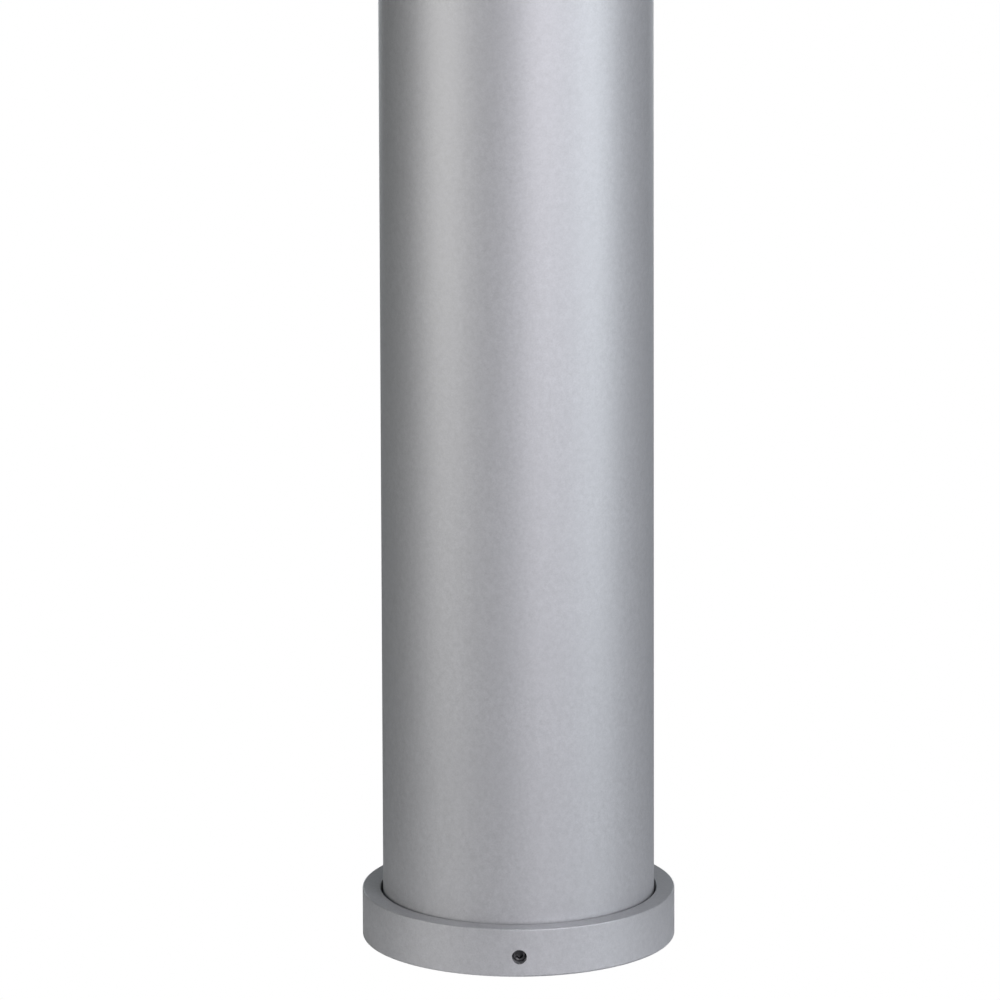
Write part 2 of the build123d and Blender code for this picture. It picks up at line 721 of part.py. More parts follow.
def tray_earth_screw():
    """The earth screw on the tray, with its washer behind the earth core's lug."""
    z, front = LEAD_END - 4, TRAY_BACK - SHEET_T
    washer = cross_rod(4.0, front - 2.0, front, 17, z) - cross_rod(M4_R, front - 3, front + 1, 17, z)
    return washer + Pos(17, front - 3.0, z) * Rot(90, 0, 0) * m4_screw(6)


# ---- Lamp ----------------------------------------------------------------------------------------------------


def lamp_cap():
    """The lamp's E27 screw shell, with its rolled thread drawn as rings."""
    turns, pitch = 4, 3.6
    shell = turned(
        (0, LAMP_CAP_BOTTOM), (LAMP_CAP_R - 0.7, LAMP_CAP_BOTTOM), (LAMP_CAP_R - 0.7, LAMP_CAP_TOP), (0, LAMP_CAP_TOP)
    )
    for i in range(turns):
        shell += Pos(0, 0, LAMP_CAP_BOTTOM + 2.2 + pitch * i) * Torus(LAMP_CAP_R - 1.3, 1.3)
    return shell


def lamp_insulator():
    """The dark glass cone under the screw shell."""
    return turned((0, 641.6), (5, 641.6), (12.2, LAMP_CAP_BOTTOM), (0, LAMP_CAP_BOTTOM))


def lamp_tip():
    """The lamp's centre contact."""
    return turned((0, 640.2), (4.6, 640.2), (4.6, 641.6), (0, 641.6), rounds={1: 0.8})


def lamp_body():
    """The flared housing between the screw shell and the globe."""
    outline = make_face(
        Polyline((0, LAMP_CAP_TOP), (13.8, LAMP_CAP_TOP), (13.8, 669))
        + ThreePointArc((13.8, 669), (18.4, 681), (GLOBE_SEAM_R, GLOBE_SEAM))
        + Polyline((GLOBE_SEAM_R, GLOBE_SEAM), (0, GLOBE_SEAM), (0, LAMP_CAP_TOP))
    )
    return revolve(Plane.XZ * outline, axis=Axis.Z)


def lamp_globe():
    """The frosted globe, a hollow shell on the housing."""
    solid = Pos(0, 0, GLOBE_Z) * Sphere(GLOBE_R)
    hollow = Pos(0, 0, GLOBE_Z) * Sphere(GLOBE_R - GLOBE_WALL)
    return (solid - hollow) & rod(40, GLOBE_SEAM, GLOBE_Z + 50)


# ---- Lantern head --------------------------------------------------------------------------------------------


def diffuser():
    """The opal cylinder of the lantern."""
    return turned(
        (DIFFUSER_IN, DIFFUSER_BOTTOM),
        (DIFFUSER_OUT, DIFFUSER_BOTTOM),
        (DIFFUSER_OUT, DIFFUSER_TOP),
        (DIFFUSER_IN, DIFFUSER_TOP),
        rounds={0: 0.5, 1: 0.5, 2: 0.5, 3: 0.5},
    )


def top_cap():
    """The cap casting: a low dome with a skirt, a groove for the diffuser and three counterbores."""
    edge_r = 2.0
    outline = make_face(
        Polyline(
            (0, CAP_CEILING),
            (INNER_RIM_R, CAP_CEILING),
            (INNER_RIM_R, CAP_SKIRT_BOTTOM + 3),
            (GROOVE_IN, CAP_SKIRT_BOTTOM + 3),
            (GROOVE_IN, CAP_GROOVE_TOP),
            (GROOVE_OUT, CAP_GROOVE_TOP),
            (GROOVE_OUT, CAP_SKIRT_BOTTOM),
            (POST_R, CAP_SKIRT_BOTTOM),
            (POST_R, CAP_EDGE - edge_r),
        )
        + CenterArc((POST_R - edge_r, CAP_EDGE - edge_r), edge_r, 0, 78)
        + ThreePointArc(
            (POST_R - edge_r + edge_r * cos(radians(78)), CAP_EDGE - edge_r + edge_r * sin(radians(78))),
            (POST_R / 2, TOTAL_H - 2.1),
            (0, TOTAL_H),
        )
        + Line((0, TOTAL_H), (0, CAP_CEILING))
    )
    cap = revolve(Plane.XZ * outline, axis=Axis.Z)
    for angle in TIE_ANGLES:
        x, y = at_angle(SCREW_PCD_R, angle)
        cap -= rod(M5_HOLE_R, CAP_CEILING - 1, TOTAL_H, x, y) + rod(5.2, TIE_SEAT, TOTAL_H + 5, x, y)
    return cap


def top_reflector():
    """The spun cone under the cap that throws the light out and down."""
    thick, flange_z, apex_z, apex_r, mouth_r = 1.0, CAP_CEILING - 1.0, 757.0, 4.0, 33.0
    cone = turned(
        (0, apex_z),
        (apex_r, apex_z),
        (mouth_r, flange_z),
        (INNER_RIM_R - 0.5, flange_z),
        (INNER_RIM_R - 0.5, CAP_CEILING),
        (mouth_r - 1.0, CAP_CEILING),
        (apex_r - 0.6, apex_z + thick),
        (0, apex_z + thick),
    )
    for angle in TIE_ANGLES:
        cone -= rod(3.0, flange_z - 1, CAP_CEILING + 1, *at_angle(SCREW_PCD_R, angle))
    return cone


def tie_screws():
    """The three long screws that run from the cap through the lantern into the carrier's bosses."""
    seat = TIE_SEAT + WASHER_T
    return [Pos(*at_angle(SCREW_PCD_R, a), seat) * m5_screw(TIE_LENGTH) for a in TIE_ANGLES]


def tie_washers():
    """The sealing washers under the tie screws' heads."""
    washer = ring(M5_R + 0.1, 4.6, TIE_SEAT, TIE_SEAT + WASHER_T)
    return [Pos(*at_angle(SCREW_PCD_R, a), 0) * washer for a in TIE_ANGLES]


PARTS = {
    "base_flange": base_flange(),
    "cable_grommet": cable_grommet(),
    "base_earth_screw": base_earth_screw(),
    **{f"set_screw_{place}": set_screw(angle) for place, angle in SET_ANGLES.items()},
    "post_tube": post_tube(),
    "post_lugs": post_lugs(),
    "lamp_carrier": lamp_carrier(),
    "spigot_oring": spigot_oring(),
    "carrier_screws": carrier_screws(),
    "diffuser_seat_gasket": groove_gasket(PLATE_TOP),
    "lampholder_bracket": lampholder_bracket(),
    "bracket_screws": bracket_screws(),
    "lampholder": lampholder(),
    "lampholder_shell": lampholder_shell(),
    "lampholder_contact": lampholder_contact(),
    "lampholder_screws": lampholder_screws(),
    "shade_ring": shade_ring(),
    "reflector_plate": reflector_plate(),
    "gear_tray": gear_tray(),
    "tray_bolts": tray_bolts(),
    "tray_nuts": tray_nuts(),
    "box_back": box_back(),
    "box_side_walls": box_side_walls(),
    "box_end_walls": box_end_walls(),
    "box_pillars": box_pillars(),
    "box_seal": box_seal(),
    "box_lid": box_lid(),
    "box_lid_screws": box_lid_screws(),
    "box_fixing_screws": box_fixing_screws(),
    "terminal_block": terminal_block(),
    "terminal_inserts": terminal_inserts(),
    "terminal_screws": terminal_screws(),
    "gland_bodies": glands("body"),
    "gland_dome_nuts": glands("nut"),
    "gland_seals": glands("seal"),
    "gland_lock_nuts": glands("lock"),
    "lamp_lead": lamp_lead(),
    "lead_clip": lead_clip(),
    "core_live": core_live(),
    "core_neutral": core_neutral(),
    "core_earth": core_earth(),
    "tray_earth_screw": tray_earth_screw(),
    "lamp_cap": lamp_cap(),
    "lamp_insulator": lamp_insulator(),
    "lamp_tip": lamp_tip(),
    "lamp_body": lamp_body(),
    "lamp_globe": lamp_globe(),
    "diffuser": diffuser(),
    "top_cap": top_cap(),
    "diffuser_cap_gasket": groove_gasket(DIFFUSER_TOP),
    "top_reflector": top_reflector(),
    "tie_screws": tie_screws(),
    "tie_washers": tie_washers(),
}


def main():
    """Writes every sub-part."""
    os.makedirs("parts", exist_ok=True)
    for name, shape in PARTS.items():
        whole = Compound(children=shape) if isinstance(shape, list) else shape
        export_step(whole, f"parts/{name}.step")


main()
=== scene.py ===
"""A round garden bollard light in silver powder coat, on a white floor in soft studio light.

Metres. +Z is up and the front is towards -Y. Most shapes are the frame's CAD nodes, and each gets its finish
here. The screws, nuts and lamp threads are modelled again with real helices, hexagon sockets and knurled
heads, in the places of their CAD nodes.
"""

import json
import math

import bpy
from mathutils import Matrix, Vector


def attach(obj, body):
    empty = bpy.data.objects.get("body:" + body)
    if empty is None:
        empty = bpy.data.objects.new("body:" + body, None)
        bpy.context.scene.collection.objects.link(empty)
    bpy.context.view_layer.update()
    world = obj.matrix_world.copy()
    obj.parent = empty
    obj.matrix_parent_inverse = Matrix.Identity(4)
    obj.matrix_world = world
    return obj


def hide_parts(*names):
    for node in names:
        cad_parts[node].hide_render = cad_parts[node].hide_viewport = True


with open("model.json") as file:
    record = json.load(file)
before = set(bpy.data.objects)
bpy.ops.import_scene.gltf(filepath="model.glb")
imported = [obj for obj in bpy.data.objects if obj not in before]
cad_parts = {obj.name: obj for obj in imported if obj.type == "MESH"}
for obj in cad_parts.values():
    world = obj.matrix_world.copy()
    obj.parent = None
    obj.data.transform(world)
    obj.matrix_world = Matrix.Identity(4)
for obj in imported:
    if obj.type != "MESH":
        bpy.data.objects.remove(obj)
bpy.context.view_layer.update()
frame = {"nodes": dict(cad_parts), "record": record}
scene = bpy.context.scene

MM = 0.001


# ---- Camera, floor and light ----

VIEW_DISTANCE = 5.378
VIEW_ELEVATION = 14.65
VIEW_AZIMUTH = -0.16
VIEW_ROLL = -0.19
VIEW_AIM = Vector((-0.0070, 0.0, 0.18172))
LENS = 480.4
SENSOR = 36.0

LIGHT_DISTANCE = 1.5
FLOOR_ALBEDO = 0.80
FLOOR_HALF = 60.0
ROOM_COLOUR = (0.85, 1.0, 1.06)
ROOM_STRENGTH = 0.05

# Each soft box: name, azimuth, height, size, watts, colour, height that it faces.
SOFT_BOXES = (
    ("left_strip", -60, 0.22, (1.0, 0.42), 5.3, (1.0, 0.992, 0.955), 0.22),
    ("front_box", 17, 0.35, (0.6, 0.6), 4.0, (1.0, 0.975, 1.02), 0.35),
    ("right_strip", 65, 0.22, (0.8, 0.42), 5.2, (0.93, 1.0, 1.04), 0.22),
    ("key", 30, 0.8, (0.4, 0.5), 6.9, (0.99, 0.975, 1.06), 0.2),
    ("back_strip", -165, 0.2, (0.5, 0.4), 1.5, (0.95, 1.0, 1.03), 0.2),
    ("back_strip", 165, 0.2, (0.5, 0.4), 1.5, (0.95, 1.0, 1.03), 0.2),
)

# A narrow light straight above, which reaches little more than the cap.
CAP_LIGHT_HEIGHT = 2.3
CAP_LIGHT_SIZE = (0.12, 0.12)
CAP_LIGHT_WATTS = 0.03
CAP_LIGHT_SPREAD = 6


def around(azimuth, distance, height):
    """A point at an azimuth from the front, positive to the right, a distance from the axis and a height."""
    a = math.radians(azimuth)
    return Vector((distance * math.sin(a), -distance * math.cos(a), height))


def add_camera():
    """The camera: a long lens that looks down a little at the foot of the post."""
    data = bpy.data.cameras.new("camera")
    data.lens = LENS
    data.sensor_width = SENSOR
    data.clip_start = 0.1
    data.clip_end = 100.0
    camera = bpy.data.objects.new("camera", data)
    scene.collection.objects.link(camera)
    up = math.radians(VIEW_ELEVATION)
    flat = around(VIEW_AZIMUTH, math.cos(up), 0.0)
    back = Vector((flat.x, flat.y, math.sin(up)))
    camera.location = VIEW_AIM + back * VIEW_DISTANCE
    turn = (-back).to_track_quat("-Z", "Y").to_matrix() @ Matrix.Rotation(math.radians(VIEW_ROLL), 3, "Z")
    camera.rotation_mode = "QUATERNION"
    camera.rotation_quaternion = turn.to_quaternion()
    scene.camera = camera


def add_soft_box(name, spot, size, watts, colour, aim_height, spread=180):
    """A rectangular studio light that faces the post's axis at a height, with its spread in degrees."""
    data = bpy.data.lights.new(name, "AREA")
    data.shape = "RECTANGLE"
    data.size, data.size_y = size
    data.energy = watts
    data.color = colour
    data.spread = math.radians(spread)
    light = bpy.data.objects.new(name, data)
    scene.collection.objects.link(light)
    light.location = spot
    light.rotation_mode = "QUATERNION"
    light.rotation_quaternion = (Vector((0, 0, aim_height)) - light.location).to_track_quat("-Z", "Y")
    light.visible_camera = False


def white_to_camera(tree, inner, white_kind):
    """Mixes a shader with plain white, which only the camera sees."""
    path = tree.nodes.new("ShaderNodeLightPath")
    white = tree.nodes.new(white_kind)
    white.inputs["Color"].default_value = (1, 1, 1, 1)
    white.inputs["Strength"].default_value = 1.0
    mix = tree.nodes.new("ShaderNodeMixShader")
    tree.links.new(path.outputs["Is Camera Ray"], mix.inputs[0])
    tree.links.new(inner, mix.inputs[1])
    tree.links.new(white.outputs[0], mix.inputs[2])
    return mix.outputs[0]


def add_world():
    """A dim even room, which the camera sees as white."""
    world = bpy.data.worlds.new("room")
    scene.world = world
    world.use_nodes = True
    tree = world.node_tree
    room = tree.nodes["Background"]
    room.inputs["Color"].default_value = (*ROOM_COLOUR, 1)
    room.inputs["Strength"].default_value = ROOM_STRENGTH
    lit = white_to_camera(tree, room.outputs[0], "ShaderNodeBackground")
    tree.links.new(lit, tree.nodes["World Output"].inputs["Surface"])


def add_floor():
    """The floor: pale paper that lights the post from below, and plain white to the camera."""
    half = FLOOR_HALF
    mesh = bpy.data.meshes.new("floor")
    corners = [(-half, -half, 0), (half, -half, 0), (half, half, 0), (-half, half, 0)]
    mesh.from_pydata(corners, [], [(0, 1, 2, 3)])
    floor = bpy.data.objects.new("floor", mesh)
    scene.collection.objects.link(floor)
    material = bpy.data.materials.new("floor_paper")
    material.use_nodes = True
    tree = material.node_tree
    paper = tree.nodes["Principled BSDF"]
    paper.inputs["Base Color"].default_value = (FLOOR_ALBEDO, FLOOR_ALBEDO, FLOOR_ALBEDO, 1)
    paper.inputs["Roughness"].default_value = 0.9
    paper.inputs["Specular IOR Level"].default_value = 0.1
    lit = white_to_camera(tree, paper.outputs[0], "ShaderNodeEmission")
    tree.links.new(lit, tree.nodes["Material Output"].inputs["Surface"])
    mesh.materials.append(material)


def add_lights():
    """Soft boxes round a white table, low ones and a higher key, and a small light straight above."""
    for name, azimuth, height, size, watts, colour, aim_height in SOFT_BOXES:
        add_soft_box(name, around(azimuth, LIGHT_DISTANCE, height), size, watts, colour, aim_height)
    above = Vector((0, 0, CAP_LIGHT_HEIGHT))
    add_soft_box("cap_box", above, CAP_LIGHT_SIZE, CAP_LIGHT_WATTS, (1.0, 1.0, 1.02), 0.3, CAP_LIGHT_SPREAD)


# ---- Materials ----


# Noise keeps near its middle, so a pattern is stretched from one of these spans.
WIDE = (0.3, 0.7)
MIDDLE = (0.35, 0.65)

SILVER = (0.60, 0.60, 0.615)


class Finish:
    """A procedural material: one Principled shader, fed by patterns in the object's own coordinates."""

    def __init__(self, name, **constant):
        self.material = bpy.data.materials.new(name)
        self.material.use_nodes = True
        self.tree = self.material.node_tree
        self.shader = self.tree.nodes["Principled BSDF"]
        for socket, value in constant.items():
            self.shader.inputs[socket.replace("_", " ")].default_value = value
        self.place = self.tree.nodes.new("ShaderNodeTexCoord").outputs["Object"]

    def node(self, kind, **values):
        """A node with its properties and its inputs' values set."""
        made = self.tree.nodes.new("ShaderNode" + kind)
        for key, value in values.items():
            if key in made.inputs:
                made.inputs[key].default_value = value
            else:
                setattr(made, key, value)
        return made

    def link(self, out, to):
        """Joins an output to an input."""
        self.tree.links.new(out, to)

    def squeezed(self, scale):
        """The coordinates scaled unevenly, for a pattern that is longer one way."""
        made = self.node("Mapping")
        made.inputs["Scale"].default_value = scale
        self.link(self.place, made.inputs["Vector"])
        return made.outputs["Vector"]

    def axis(self, which):
        """One of the object's coordinates: X, Y or Z."""
        made = self.node("SeparateXYZ")
        self.link(self.place, made.inputs[0])
        return made.outputs[which]

    def radius(self):
        """The distance from the object's Z axis."""
        made = self.node("VectorMath", operation="LENGTH")
        self.link(self.squeezed((1, 1, 0)), made.inputs[0])
        return made.outputs["Value"]

    def along(self, value):
        """Coordinates that change with one value only, for lines and rings."""
        made = self.node("CombineXYZ")
        self.link(value, made.inputs[0])
        return made.outputs[0]

    def noise(self, size, detail=2.0, rough=0.5, where=None):
        """Noise with features about as large as a size in metres, from 0 to 1."""
        made = self.node("TexNoise", Scale=1.0 / size, Detail=detail, Roughness=rough)
        self.link(where or self.place, made.inputs["Vector"])
        return made.outputs["Fac"]

    def cells(self, size, output="Distance", where=None):
        """Voronoi cells about as large as a size in metres."""
        made = self.node("TexVoronoi", Scale=1.0 / size)
        self.link(where or self.place, made.inputs["Vector"])
        return made.outputs[output]

    def mapped(self, value, low, high, start=0.0, end=1.0):
        """A value mapped from one span to another."""
        made = self.node("MapRange", clamp=True)
        for socket, number in (("From Min", start), ("From Max", end), ("To Min", low), ("To Max", high)):
            made.inputs[socket].default_value = number
        self.link(value, made.inputs["Value"])
        return made.outputs["Result"]

    def math(self, operation, a, b=0.0):
        """Arithmetic on two values, each a number or an output."""
        made = self.node("Math", operation=operation)
        for value, socket in ((a, made.inputs[0]), (b, made.inputs[1])):
            if isinstance(value, (int, float)):
                socket.default_value = value
            else:
                self.link(value, socket)
        return made.outputs[0]

    def mean(self, a, b, share=0.5):
        """Two patterns mixed, with the first one's share."""
        return self.math("ADD", self.math("MULTIPLY", a, share), self.math("MULTIPLY", b, 1 - share))

    def blend(self, factor, first, second):
        """A colour between two, each a colour or an output."""
        made = self.node("Mix", data_type="RGBA")
        self.link(factor, made.inputs["Factor"])
        for value, socket in ((first, made.inputs[6]), (second, made.inputs[7])):
            if isinstance(value, tuple):
                socket.default_value = (*value, 1)
            else:
                self.link(value, socket)
        return made.outputs[2]

    def colour(self, out):
        """Feeds the base colour."""
        self.link(out, self.shader.inputs["Base Color"])

    def roughness(self, out):
        """Feeds the roughness."""
        self.link(out, self.shader.inputs["Roughness"])

    def bump(self, height, depth, strength=1.0):
        """Feeds the normal from a height pattern whose full range is a depth in metres."""
        made = self.node("Bump", Strength=strength, Distance=depth)
        self.link(height, made.inputs["Height"])
        self.link(made.outputs["Normal"], self.shader.inputs["Normal"])


def shaded(colour, amount):
    """A colour made lighter or darker."""
    return tuple(channel * (1 + amount) for channel in colour)


def powder_coat(name, colour):
    """Silver metallic powder coat: fine flakes, an orange-peel skin and a faint cloud."""
    f = Finish(name, Metallic=0.5)
    flakes = f.mean(f.noise(0.7 * MM, detail=3.0, rough=0.65), f.noise(2.2 * MM), 0.6)
    cloud = f.noise(40 * MM, detail=3.0)
    speckle = f.mapped(flakes, 0, 1, *WIDE)
    tint = f.blend(speckle, shaded(colour, -0.12), shaded(colour, 0.12))
    f.colour(f.blend(f.mapped(cloud, 0, 0.3, *MIDDLE), tint, shaded(colour, -0.03)))
    f.roughness(f.mapped(flakes, 0.46, 0.54, *WIDE))
    f.bump(flakes, 0.06 * MM, 0.35)
    return f.material


def moulded(name, colour, rough=0.5, grain=0.5, spread=0.06, depth=0.03, **constant):
    """Moulded plastic or rubber: an eroded-mould grain, broad flow marks and a trace of dust."""
    f = Finish(name, **constant)
    skin = f.mean(f.cells(grain * MM), f.noise(grain * 0.6 * MM, detail=3.0))
    flow = f.noise(18 * MM, detail=3.0, where=f.squeezed((1, 1, 0.35)))
    patch = f.mapped(f.mean(skin, flow), 0, 1, *WIDE)
    f.colour(f.blend(patch, shaded(colour, -spread), shaded(colour, spread)))
    f.roughness(f.mapped(f.mean(skin, flow, 0.4), rough - 0.08, rough + 0.08, *WIDE))
    f.bump(skin, depth * MM, 0.4)
    return f.material


def plated(name, colour, tint, rough, streak=(1, 1, 6)):
    """Plated or turned metal: hairline streaks, and a second tint in soft patches."""
    f = Finish(name, Metallic=1.0)
    lines = f.noise(0.5 * MM, detail=3.0, where=f.squeezed(streak))
    patches = f.mapped(f.noise(5 * MM, detail=3.0), 0, 1, *MIDDLE)
    fine = f.mapped(lines, 0, 1, *WIDE)
    dull = f.blend(patches, shaded(colour, -0.10), shaded(tint, -0.10))
    f.colour(f.blend(fine, dull, shaded(colour, 0.08)))
    f.roughness(f.mapped(f.mean(lines, patches), rough - 0.08, rough + 0.10, *WIDE))
    f.bump(lines, 0.008 * MM, 0.3)
    return f.material


def black_oxide(name, colour):
    """Blackened steel with a faint oil mottle and rubbed, lighter spots."""
    f = Finish(name, Metallic=0.8)
    mottle = f.noise(0.9 * MM, detail=4.0, rough=0.6)
    rubbed = f.mapped(f.noise(2.5 * MM, detail=2.0), 0, 1, 0.58, 0.75)
    skin = f.blend(mottle, shaded(colour, -0.3), shaded(colour, 0.3))
    f.colour(f.blend(rubbed, skin, (0.24, 0.235, 0.23)))
    f.roughness(f.mapped(mottle, 0.38, 0.55, *WIDE))
    f.bump(mottle, 0.01 * MM, 0.4)
    return f.material


def galvanised(name, colour):
    """Hot-dipped sheet: crystal spangles of several greys, with fine rolling lines across them."""
    f = Finish(name, Metallic=0.95)
    warp = f.node("VectorMath", operation="ADD")
    f.link(f.place, warp.inputs[0])
    f.link(f.squeezed((0.1, 0.1, 0.1)), warp.inputs[1])
    spangle = f.mapped(f.cells(7 * MM, "Color", warp.outputs[0]), 0, 1, 0.15, 0.85)
    lines = f.noise(0.4 * MM, detail=2.0, where=f.squeezed((1, 1, 0.08)))
    tone = f.mean(spangle, f.mapped(lines, 0, 1, *WIDE), 0.75)
    f.colour(f.blend(tone, shaded(colour, -0.22), shaded(colour, 0.2)))
    f.roughness(f.mapped(tone, 0.30, 0.50))
    f.bump(f.mean(spangle, lines, 0.6), 0.01 * MM, 0.35)
    return f.material


def brass(name, colour):
    """Bright pressed brass with a brown bloom in patches."""
    f = Finish(name, Metallic=1.0)
    bloom = f.mapped(f.noise(3 * MM, detail=4.0, rough=0.6), 0, 1, 0.45, 0.75)
    lines = f.noise(0.3 * MM, detail=2.0, where=f.squeezed((1, 1, 5)))
    f.colour(f.blend(bloom, shaded(colour, 0.06), (0.46, 0.29, 0.12)))
    f.roughness(f.mapped(f.mean(bloom, lines, 0.6), 0.22, 0.45, 0.1, 0.7))
    f.bump(lines, 0.006 * MM, 0.3)
    return f.material


def glazed(name, colour, peel, depth, speck):
    """A fired white skin, porcelain or enamel: wavy gloss, a warm cast in places and pin-head specks."""
    f = Finish(name, Coat_Weight=0.7, Coat_Roughness=0.06, Specular_IOR_Level=0.5)
    waves = f.noise(peel * MM, detail=2.0)
    cast = f.mapped(f.noise(14 * MM, detail=2.0), 0, 1, *MIDDLE)
    specks = f.mapped(f.cells(2.4 * MM), speck, 0, 0.035, 0.075)
    body = f.blend(cast, shaded(colour, -0.04), shaded(colour, 0.03))
    f.colour(f.blend(specks, body, (0.30, 0.26, 0.21)))
    f.roughness(f.mapped(waves, 0.20, 0.34, *WIDE))
    f.bump(waves, depth * MM, 0.5)
    return f.material


def frosted(name, colour, scatter, rough):
    """Opal or frosted plastic: light goes into it, and its skin has a fine satin bloom."""
    f = Finish(name, Subsurface_Weight=0.25, Subsurface_Scale=scatter * MM, Specular_IOR_Level=0.45)
    satin = f.noise(0.35 * MM, detail=3.0)
    draw = f.noise(26 * MM, detail=2.0, where=f.squeezed((1, 1, 0.2)))
    haze = f.mapped(f.mean(satin, draw, 0.3), 0, 1, *MIDDLE)
    f.colour(f.blend(haze, shaded(colour, -0.04), shaded(colour, 0.02)))
    f.roughness(f.mapped(satin, rough - 0.05, rough + 0.05, *WIDE))
    f.bump(satin, 0.01 * MM, 0.3)
    return f.material


def spun(name, colour):
    """Spun aluminium: fine rings about the axis."""
    f = Finish(name, Metallic=1.0)
    rings = f.noise(0.35 * MM, detail=3.0, where=f.along(f.radius()))
    haze = f.mapped(f.noise(9 * MM, detail=2.0), 0, 1, *MIDDLE)
    tone = f.mapped(f.mean(rings, haze, 0.7), 0, 1, *WIDE)
    f.colour(f.blend(tone, shaded(colour, -0.08), shaded(colour, 0.05)))
    f.roughness(f.mapped(rings, 0.22, 0.38, *WIDE))
    f.bump(rings, 0.012 * MM, 0.4)
    return f.material


def drawn(name, colour):
    """Mill-finish extrusion: die lines along Z and a dull oxide bloom."""
    f = Finish(name, Metallic=0.95)
    lines = f.noise(0.35 * MM, detail=3.0, where=f.squeezed((1, 1, 0.02)))
    bloom = f.mapped(f.noise(8 * MM, detail=3.0), 0, 1, *MIDDLE)
    tone = f.mapped(f.mean(lines, bloom), 0, 1, *WIDE)
    f.colour(f.blend(tone, shaded(colour, -0.15), shaded(colour, 0.06)))
    f.roughness(f.mapped(f.mean(lines, bloom), 0.34, 0.50, *WIDE))
    f.bump(lines, 0.012 * MM, 0.4)
    return f.material


def striped_sleeve(name, green, yellow):
    """Earth insulation: slanting green and yellow stripes under gloss."""
    f = Finish(name, Coat_Weight=0.3, Coat_Roughness=0.2)
    slant = f.math("ADD", f.math("ADD", f.axis("X"), f.math("MULTIPLY", f.axis("Y"), 0.6)), f.axis("Z"))
    wave = f.math("SINE", f.math("MULTIPLY", slant, 2 * math.pi / (3.6 * MM)))
    smudge = f.noise(0.6 * MM, detail=2.0)
    edge = f.math("ADD", wave, f.math("MULTIPLY", smudge, 0.3))
    f.colour(f.blend(f.mapped(edge, 0, 1, 0.1, 0.25), green, yellow))
    f.roughness(f.mapped(smudge, 0.32, 0.46, *WIDE))
    f.bump(smudge, 0.01 * MM, 0.3)
    return f.material


def make_finishes():
    """Every material slot of the record, with its material."""
    given = {entry["slot"]: tuple(entry["base_color"][:3]) for entry in frame["record"]["materials"]}
    gloss = {"Coat_Weight": 0.3}
    made = {
        "silver_coat": powder_coat("silver_powder_coat", SILVER),
        "black_rubber": moulded("moulded_rubber", given["black_rubber"], 0.72, 0.6, 0.2, 0.05),
        "stainless": plated("turned_stainless", given["stainless"], (0.50, 0.49, 0.47), 0.28),
        "dark_steel": black_oxide("black_oxide_steel", given["dark_steel"]),
        "bare_aluminium": drawn("mill_aluminium", given["bare_aluminium"]),
        "galvanised_steel": galvanised("galvanised_sheet", given["galvanised_steel"]),
        "zinc_screws": plated("zinc_plate", given["zinc_screws"], (0.50, 0.46, 0.34), 0.32),
        "porcelain": glazed("porcelain_glaze", given["porcelain"], 3.0, 0.05, 0.5),
        "brass": brass("pressed_brass", given["brass"]),
        "white_enamel": glazed("stove_enamel", given["white_enamel"], 1.6, 0.03, 0.12),
        "grey_plastic": moulded("grey_polycarbonate", given["grey_plastic"], 0.45, 0.5, 0.05, 0.03),
        "white_plastic": moulded("natural_polyamide", given["white_plastic"], 0.42, 0.4, 0.05, 0.02),
        "black_plastic": moulded("black_polyamide", given["black_plastic"], 0.40, 0.4, 0.15, 0.02),
        "lead_sheath": moulded("lead_sheath_rubber", given["lead_sheath"], 0.60, 0.3, 0.2, 0.03),
        "brown_sleeve": moulded("brown_insulation", given["brown_sleeve"], 0.34, 0.3, 0.1, 0.01, **gloss),
        "blue_sleeve": moulded("blue_insulation", given["blue_sleeve"], 0.34, 0.3, 0.1, 0.01, **gloss),
        "earth_sleeve": striped_sleeve("earth_insulation", (0.03, 0.22, 0.04), (0.68, 0.58, 0.03)),
        "nickel_cap": plated("nickel_plate", given["nickel_cap"], (0.55, 0.50, 0.42), 0.26),
        "black_glass": moulded("vitrite_glass", given["black_glass"], 0.14, 0.5, 0.2, 0.01, Coat_Weight=0.6),
        "lamp_housing": moulded("lamp_housing_plastic", given["lamp_housing"], 0.32, 0.4, 0.03, 0.01),
        "lamp_frost": frosted("frosted_globe", given["lamp_frost"], 2.0, 0.42),
        "opal_plastic": frosted("opal_acrylic", given["opal_plastic"], 4.0, 0.36),
        "spun_aluminium": spun("spun_aluminium_rings", given["spun_aluminium"]),
    }
    return made


def dress_nodes(made):
    """Gives every CAD node its slot's material."""
    for part in frame["record"]["subparts"]:
        mesh = frame["nodes"][part["node"]].data
        mesh.materials.clear()
        mesh.materials.append(made[part["material_slot"]])


# ---- Screws, nuts and threads ----
# Each is a stack of rings about its own Z axis, in millimetres. A ring is a height and a radius, and the
# radius is a number or a function of the angle.

SIDES = 48
SHARP_DEGREES = 38

# Socket-head screws: radius, pitch, head radius, head height, hexagon across its flats.
LID_SCREW = (1.55, 0.6, 3.0, 2.0, 2.0)
M4 = (2.0, 0.7, 3.5, 3.0, 2.5)
M5 = (2.5, 0.8, 4.25, 5.0, 4.0)
M4_THREAD_STOP = 0.6

# The headless M6 set screw.
SET_LENGTH = 5.0
SET_R = 2.8
SET_CORE_R = 2.25
SET_PITCH = 1.0
SET_HEX = 3.0
SET_HEX_FLOOR = 2.5
SET_TIP_R = 55.2
SET_Z = 8.4

# The thread of the lamp's cap and of the shell that it turns in.
LAMP_PITCH = 3.6
LAMP_FADE = 1.6
LAMP_STEPS = 12
LAMP_THREAD_TOP = 663
LAMP_CAP_TOP = 664

